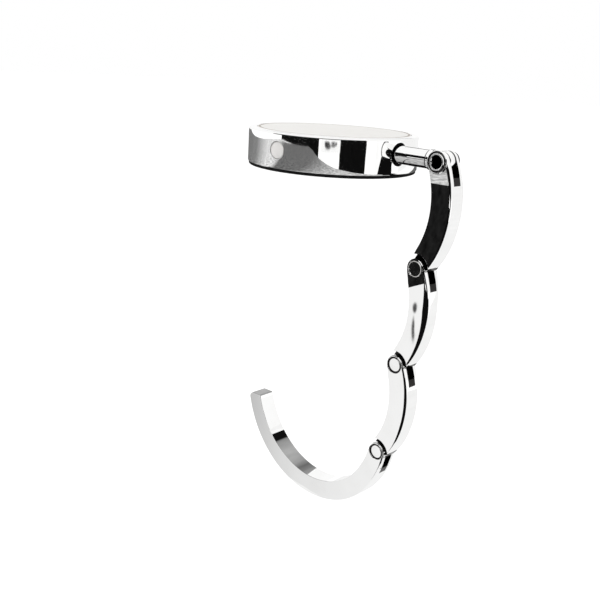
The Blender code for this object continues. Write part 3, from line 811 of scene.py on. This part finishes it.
# the first rivet's head is sunk inside a low bead, and the other two have a groove round a flat button
rivet = {"head": 1.7, "headDeep": 0.6, "shank": 1.1, "button": 1.5, "groove": 0.12, "shadeShift": (0.13, 0.1)}
half = chain["width"] / 2
shoulder = half - rivet["headDeep"]
shank = [(rivet["head"], shoulder, 0.05), (rivet["shank"], shoulder, 0)]
beadSide = [
    (0, half - 0.06, 0), (1.40, half - 0.06, 0.02), (1.46, half - 0.02, 0.03), (1.55, half + 0.03, 0.06),
    (1.64, half - 0.02, 0.03), (rivet["head"], half - 0.08, 0.02), *shank,
]
grooveFloor = half - rivet["groove"]
buttonSide = [
    (0, half, 0), (rivet["button"], half - 0.006, 0.1), (rivet["button"] + 0.06, grooveFloor, 0.04),
    (rivet["head"], grooveFloor + 0.06, 0.04), *shank,
]
for index, body, side in (
    (1, "middle_link", beadSide), (2, "lower_link", buttonSide), (3, "bag_hook", buttonSide),
):
    x, z = pinPlaces[index]
    # painted shade in the button rivets' groove, its ring set off centre by the shade shift, and a pale
    # painted highlight on the first rivet's bead
    paintedShadeRings, paintedHighlightRings = [], []
    if side is beadSide:
        paintedHighlightRings.append((x, z, 1.5, 1.64, -3, 3, 0.03))
    else:
        paintedShadeRings.append((x + rivet["shadeShift"][0], z + rivet["shadeShift"][1], 1.4, 1.9, -3, 3, 0.04))
    profile = rounded(side + [(r, -h, e) for r, h, e in reversed(side)])
    pin = turned("rivet%d" % index, profile, 96, "alongY", pins[index])
    finish = metalFinish("Rivet %d chrome" % index, pinLook, paintedShadeRings, paintedHighlightRings)
    settle(pin, body, ["hinge_pin_%d" % index], finish, 0)

# the hidden pieces keep their shapes
for node, material in (("base_plate", plateSteel), ("neck_retaining_ring", springSteel)):
    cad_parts[node].data.materials.clear()
    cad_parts[node].data.materials.append(material)
say("pieces are in place")

studio = {
    "floorLevel": -160, "floorSize": 6000, "floorShade": 0.93, "floorRough": 0.9,
    "floorGlow": 0.4, "floorShine": 0.45, "skyLight": 0.72, "skyShine": 1.0,
}


def cardPiece(name, shape, material):
    mesh = bpy.data.meshes.new(name)
    shape.to_mesh(mesh)
    shape.free()
    piece = bpy.data.objects.new(name, mesh)
    scene.collection.objects.link(piece)
    mesh.materials.append(material)
    return piece


def plane(name, corners, material):
    form = bmesh.new()
    form.faces.new([form.verts.new([c * mm for c in corner]) for corner in corners])
    return cardPiece(name, form, material)


floorPaint, tree, shader, place = newMaterial("Floor paint")
path = addNode(tree, "ShaderNodeLightPath")
shader.inputs["Base Color"].default_value = (studio["floorShade"],) * 3 + (1,)
shader.inputs["Roughness"].default_value = studio["floorRough"]
shader.inputs["Emission Color"].default_value = (1, 1, 1, 1)
shine = maths(tree, "MULTIPLY", path.outputs["Is Glossy Ray"], studio["floorShine"])
glow = maths(tree, "MULTIPLY_ADD", path.outputs["Is Camera Ray"], studio["floorGlow"], shine)
tree.links.new(glow, shader.inputs["Emission Strength"])


def square(reach, height):
    return [(x * reach, y * reach, height) for x, y in ((-1, -1), (1, -1), (1, 1), (-1, 1))]


plane("floor", square(studio["floorSize"], studio["floorLevel"]), floorPaint)

# a soft spot's edges as shares of its size, its shade inside and outside,
# and the Y in mm that stops go round
spotFade = (0.45, 1.1, 0.08, 1)
stopsCentre = -15


def cardPaint(name, low, high, size, stops=(), along="angle", spots=()):
    # paint of a card that only shows in the metal, and only from its front; stops are shades round
    # a point or along X, and spots are soft dark ellipses as (x, z, half width, half height, turn)
    material = bpy.data.materials.new(name)
    material.use_nodes = True
    tree = material.node_tree
    tree.nodes.clear()
    place = addNode(tree, "ShaderNodeTexCoord").outputs["Object"]
    shade = ranged(tree, noise(tree, place, size, 4), 0.3, 0.7, low, high)
    if stops:
        first, last = stops[0][0], stops[-1][0]
        spot = addNode(tree, "ShaderNodeSeparateXYZ", {0: place})
        if along == "angle":
            ahead = maths(tree, "SUBTRACT", spot.outputs[1], stopsCentre * mm)
            angle = maths(tree, "ARCTAN2", ahead, spot.outputs[0])
            share = ranged(tree, angle, -math.pi, math.pi, 0, 1)
        else:
            share = ranged(tree, spot.outputs[0], first * mm, last * mm, 0, 1)
        ramp = addNode(tree, "ShaderNodeValToRGB", {0: share})
        marks = ramp.color_ramp.elements
        marks[0].position, marks[0].color = 0, (stops[0][1],) * 3 + (1,)
        marks[1].position, marks[1].color = 1, (stops[-1][1],) * 3 + (1,)
        for where, value in stops[1:-1]:
            marks.new((where - first) / (last - first)).color = (value, value, value, 1)
        shade = maths(tree, "MULTIPLY", shade, ramp.outputs["Color"])
    for x, z, wide, tall, turn in spots:
        laid = addNode(tree, "ShaderNodeMapping", {
            "Vector": place, "Location": (x * mm, 0, z * mm), "Rotation": (0, math.radians(turn), 0),
            "Scale": (wide * mm, 1e6, tall * mm),
        }, vector_type="TEXTURE")
        away = lengthOf(tree, laid.outputs["Vector"])
        shade = maths(tree, "MULTIPLY", shade, ranged(tree, away, *spotFade, True))
    glow = addNode(tree, "ShaderNodeEmission", {"Strength": shade})
    clear = addNode(tree, "ShaderNodeBsdfTransparent")
    face = addNode(tree, "ShaderNodeNewGeometry")
    mix = addNode(tree, "ShaderNodeMixShader", {
        0: face.outputs["Backfacing"], 1: glow.outputs[0], 2: clear.outputs[0],
    })
    addNode(tree, "ShaderNodeOutputMaterial", {"Surface": mix.outputs[0]})
    return material


def onlyInMetal(piece):
    piece.visible_camera = False
    piece.visible_diffuse = False
    piece.visible_transmission = False
    piece.visible_shadow = False


def card(name, corners, material):
    onlyInMetal(plane(name, corners, material))


def skyCard(name, patch, material):
    left, right, low, high, far, centre = patch
    form = bmesh.new()
    across, rise = (max(2, int(sweep / 5)) for sweep in (right - left, high - low))
    rows = []
    for j in range(rise + 1):
        up = math.radians(low + (high - low) * j / rise)
        row = []
        for i in range(across + 1):
            aim = math.radians(left + (right - left) * i / across)
            row.append(form.verts.new([
                (centre[0] + far * math.cos(up) * math.cos(aim)) * mm,
                (centre[1] + far * math.cos(up) * math.sin(aim)) * mm,
                (centre[2] + far * math.sin(up)) * mm,
            ]))
        rows.append(row)
    for j in range(rise):
        for i in range(across):
            form.faces.new((rows[j][i], rows[j + 1][i], rows[j + 1][i + 1], rows[j][i + 1]))
    onlyInMetal(cardPiece(name, form, material))


topPaint = cardPaint("Top card", 0.45, 1.6, 800, [
    (-180, 0.22), (-168, 0.22), (-152, 0.5), (-140, 0.72), (-120, 0.72), (-110, 0.155), (-60, 0.155),
    (-40, 0.3), (-20, 0.5), (0, 0.58), (30, 0.45), (45, 0.3), (60, 0.13), (90, 0.13), (180, 0.2),
])
underPaint = cardPaint("Under card", 0.9, 1.1, 120, [
    (-140, 0.5), (-62, 0.34), (-44, 0.22), (-34, 0.16), (-24, 0.34), (-8, 0.44), (4, 0.36), (10, 0.26),
    (12, 0.006), (25, 0.006),
], along="x")
frontPaint = cardPaint("Front card", 0.985, 1.015, 90, [
    (-90, 0.5), (-76, 0.54), (-64, 0.66), (-50, 0.78), (-40, 0.81), (-26, 0.87), (-12, 0.90), (0, 0.92),
], along="x", spots=[(-6.7, -43, 0.95, 1.9, 0), (-6.5, -49.5, 0.75, 4.6, -4)])
glarePaint = cardPaint("Glare card", 0.98, 1.1, 300)
blackPaint = cardPaint("Black card", 0.003, 0.006, 100)
# flat cards, as the axis that crosses them, their place on it, and an outline in the other two
cards = {
    "top": ("z", -0.1, topPaint, [
        (-92, -2), (-76, -26), (-67, -46), (-55, -65), (-38, -84), (-31, -85), (-21, -82.5), (-13, -80.5),
        (14, -78.5), (21, -77), (25, -65), (25, 66), (-101, 62), (-140, 36),
    ]),
    "front": ("y", -50, frontPaint, [(-95, -22.5), (1, -22.5), (1, -119), (-95, -119)]),
    "glare": ("z", -0.05, glarePaint, [
        (19, 5), (25, 5), (25, 26), (14, 32), (13, 26), (17.5, 16), (19, 12),
    ]),
    "glint": ("z", -0.05, glarePaint, [
        (-31, -85), (-21, -82.5), (-13, -80.5), (-6, -80.2), (-13, -78.6), (-21, -79.6), (-33, -81),
    ]),
    "link": ("x", 27.1, blackPaint, [
        (-3.2, -1), (-1.2, 4.6), (-0.5, 7), (1.1, 7), (2.4, 4.6), (5, 2.3), (5.2, -1),
    ]),
    "clear": ("x", 27, glarePaint, [(-4.2, -0.5), (-4.2, 8.2), (-0.6, 8.2), (-1.1, 4.6), (-2.9, -0.5)]),
    "side": ("x", 25, cardPaint("Side card", 0.005, 0.016, 500), [
        (-85, -21.5), (66, -21.5), (66, -0.1), (-7, -0.15), (-14, -1.25), (-85, -1.25),
    ]),
    "lip": ("x", 25, cardPaint("Lip card", 0.42, 0.75, 900), [
        (-85, -1.25), (-14, -1.25), (-7, -0.15), (-85, -0.1),
    ]),
    "under": ("z", -21.5, underPaint, [(-140, 66), (22.8, 66), (22.8, -85), (-140, -85)]),
    "neck": ("z", -0.05, blackPaint, [(18, -1.5), (25, -1.5), (25, 4), (18, 4)]),
}
for name, (axis, place, paint, outline) in cards.items():
    at = "xyz".index(axis)
    card(name + "Card", [corner[:at] + (place,) + corner[at:] for corner in outline], paint)
lowReach = 420
card("lowCard", square(lowReach, studio["floorLevel"] + 1), cardPaint("Low card", 0.9, 0.94, 30))

# an upright card with dark marks low in front of the disc, seen in the white field of its wall
mark = {
    "place": (108.7, -128.7), "reach": (26.8, 22.5), "low": -11, "high": -5.4,
    "spots": [
        (102.0, -8.3, 9.5, 1.45, 0), (98.6, -7.12, 9.0, 0.8, 0), (95.3, -7.73, 4.0, 1.0, 0),
        (115.2, -6.98, 7.5, 0.5, 0), (115.9, -7.98, 8.4, 0.75, 0), (123.3, -7.49, 3.6, 0.8, 0),
    ],
}
(x, y), (across, back) = mark["place"], mark["reach"]
card("markCard", [
    (x + across, y + back, mark["low"]), (x - across, y - back, mark["low"]),
    (x - across, y - back, mark["high"]), (x + across, y + back, mark["high"]),
], cardPaint("Mark card", 0.995, 1.005, 90, spots=mark["spots"]))

# curved cards, as azimuth from and to, elevation from and to, distance, and where they are seen from
skyCards = {
    "lowMiddle": (-66, -39, -22, -7.8, 450, (10, 0, 0)),
    "round": (-118, -4, -3, 25, 600, (10, 0, 0)),
    "roundLeft": (-134, -118, 2, 25, 600, (10, 0, 0)),
    "lowLeft": (-118, -66, -22, -3, 450, (10, 0, 0)),
    "lowRight": (-39, -4, -22, -3, 450, (10, 0, 0)),
    "over": (118, 152, 17, 30, 240, (22, 0, 5)),
    "below": (-106, 6, -62, -9.5, 100, (10, 0, -15)),
    "back": (50.5, 112, -18, 35, 420, (10, 0, -40)),
    "tip": (133, 158, -6, 22, 80, (-19, 0, -58)),
}
skyPaints = {
    "back": cardPaint("Back card", 0.92, 0.96, 60),
    "tip": cardPaint("Tip card", 0.36, 0.52, 160),
}
for name, patch in skyCards.items():
    skyCard(name + "Card", patch, skyPaints.get(name, blackPaint))

world = bpy.data.worlds.new("Studio")
scene.world = world
world.use_nodes = True
tree = world.node_tree
background = tree.nodes["Background"]
background.inputs["Color"].default_value = (1, 1, 1, 1)
path = addNode(tree, "ShaderNodeLightPath")
sky = ranged(tree, path.outputs["Is Glossy Ray"], 0, 1, studio["skyLight"], studio["skyShine"])
tree.links.new(maths(tree, "MAXIMUM", sky, path.outputs["Is Camera Ray"]), background.inputs["Strength"])

keyLamp = {"place": (60, -180, 420), "aim": (0, 0, -30), "size": 320, "watts": 0.9}
light = bpy.data.lights.new("keyLamp", "AREA")
light.shape = "SQUARE"
light.size = keyLamp["size"] * mm
light.energy = keyLamp["watts"]
lamp = bpy.data.objects.new("keyLamp", light)
scene.collection.objects.link(lamp)
lamp.location = Vector(keyLamp["place"]) * mm
lamp.rotation_euler = (Vector(keyLamp["aim"]) * mm - lamp.location).to_track_quat("-Z", "Y").to_euler()
lamp.visible_glossy = False
say("floor, cards and lamp are up")

shot = {
    "place": (115.3961, -122.7313, 20.8257), "azimuth": 135.0152, "elevation": -17.1879,
    "roll": 3.4389, "lens": 45.416, "sensor": 36, "near": 1,
}
azimuth, elevation, roll = (math.radians(shot[k]) for k in ("azimuth", "elevation", "roll"))
ahead = Vector((
    math.cos(elevation) * math.cos(azimuth), math.cos(elevation) * math.sin(azimuth), math.sin(elevation),
))
level = ahead.cross(Vector((0, 0, 1))).normalized()
steep = level.cross(ahead)
rightWay = math.cos(roll) * level + math.sin(roll) * steep
upWay = math.cos(roll) * steep - math.sin(roll) * level
camera = bpy.data.objects.new("camera", bpy.data.cameras.new("camera"))
scene.collection.objects.link(camera)
camera.data.lens = shot["lens"]
camera.data.sensor_width = shot["sensor"]
camera.data.clip_start = shot["near"] * mm
turn = Matrix((rightWay, upWay, -ahead)).transposed().to_4x4()
camera.matrix_world = Matrix.Translation(Vector(shot["place"]) * mm) @ turn
scene.camera = camera
scene.view_settings.view_transform = "Standard"

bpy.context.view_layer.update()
say("all set")
